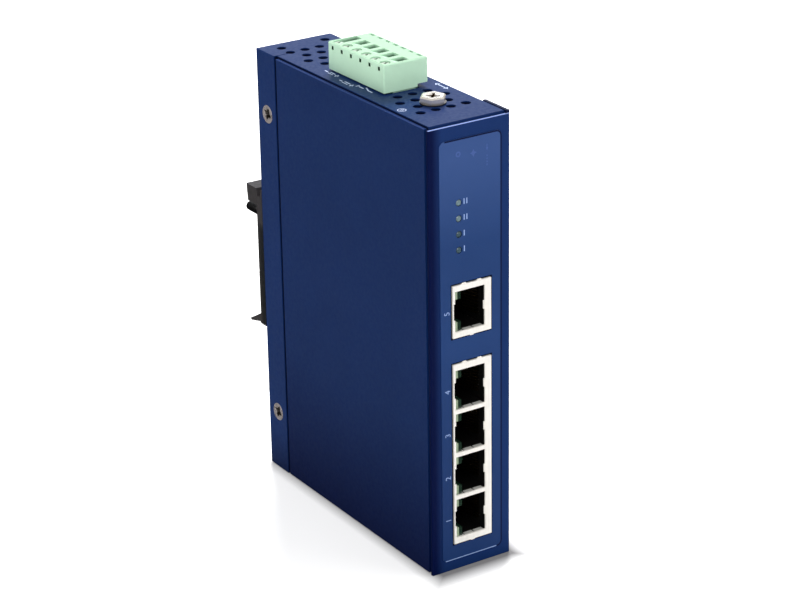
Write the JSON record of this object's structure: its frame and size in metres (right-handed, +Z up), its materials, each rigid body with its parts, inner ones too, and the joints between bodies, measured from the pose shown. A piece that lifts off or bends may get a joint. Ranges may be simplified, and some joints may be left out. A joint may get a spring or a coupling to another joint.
{
  "type": "din rail ethernet switch",
  "caption": "Slim sheet-metal network switch with front sockets, pluggable top terminal block, ground screw and a sprung clip for a 35 mm rail.",
  "frame": {"origin": "centre of the housing's bottom face, where it stands", "axes": "+Z up along the height; sockets face -Y, the rail clip faces +Y; +X across the width, towards the circuit board"},
  "size_m": [0.028, 0.1071, 0.15],
  "materials": {
    "housing_paint": "fine satin powder coat, navy blue",
    "screw_steel": "plain zinc-plated steel",
    "ground_metal": "bright nickel plate",
    "clip_metal": "dark anodised extrusion",
    "spring_steel": "drawn spring wire",
    "foot_plastic": "black dipped cap",
    "terminal_plastic": "moulded pale green",
    "tinned_metal": "bright tin plate",
    "shield_metal": "bright nickel-plated sheet",
    "socket_plastic": "moulded black",
    "lamp_plastic": "clear diffusing light pipe",
    "gold_contact": "gold-plated spring contacts",
    "label_film": "printed blue film, semi-gloss",
    "board_laminate": "green solder mask",
    "chip_plastic": "moulded black",
    "bare_aluminium": "plain"
  },
  "bodies": {
    "root": {"chassis": "housing_paint", "front_panel": "housing_paint", "left_cover": "housing_paint", "cover_screws": "screw_steel", "cover_nuts": "screw_steel", "bracket_screws": "screw_steel", "bracket_nuts": "screw_steel", "ground_screw": "ground_metal", "ground_washer": "ground_metal", "ground_nut": "screw_steel", "rail_bracket": "clip_metal", "terminal_header": "terminal_plastic", "header_pins": "tinned_metal", "terminal_plug": "terminal_plastic", "terminal_clamps": "tinned_metal", "terminal_screws": "screw_steel", "uplink_jack_shield": "shield_metal", "uplink_jack_insert": "socket_plastic", "uplink_jack_lamps": "lamp_plastic", "uplink_jack_contacts": "gold_contact", "gang_jack_shield": "shield_metal", "gang_jack_insert": "socket_plastic", "gang_jack_lamps": "lamp_plastic", "gang_jack_contacts": "gold_contact", "front_label": "label_film", "status_lights": "lamp_plastic", "light_pipe_holder": "socket_plastic", "main_board": "board_laminate", "board_standoffs": "screw_steel", "board_screws": "screw_steel", "switch_chip": "chip_plastic", "heat_sink": "bare_aluminium", "line_transformers": "chip_plastic", "power_inductors": "chip_plastic", "board_capacitors": "bare_aluminium", "alarm_relay": "chip_plastic", "input_fuse": "chip_plastic", "clock_crystal": "screw_steel", "small_chips": "chip_plastic"},
    "spring_arm": {"rail_spring": "spring_steel", "spring_feet": "foot_plastic"}
  },
  "joints": [
    {"name": "rail_spring_flex", "type": "hinge", "parent": "root", "child": "spring_arm", "pos_m": [0, 0.0535, 0.0916], "axis": [1, 0, 0], "range_deg": [0, 6], "stiffness_Nm_per_rad": 0.05, "springref_deg": -5.73}
  ]
}
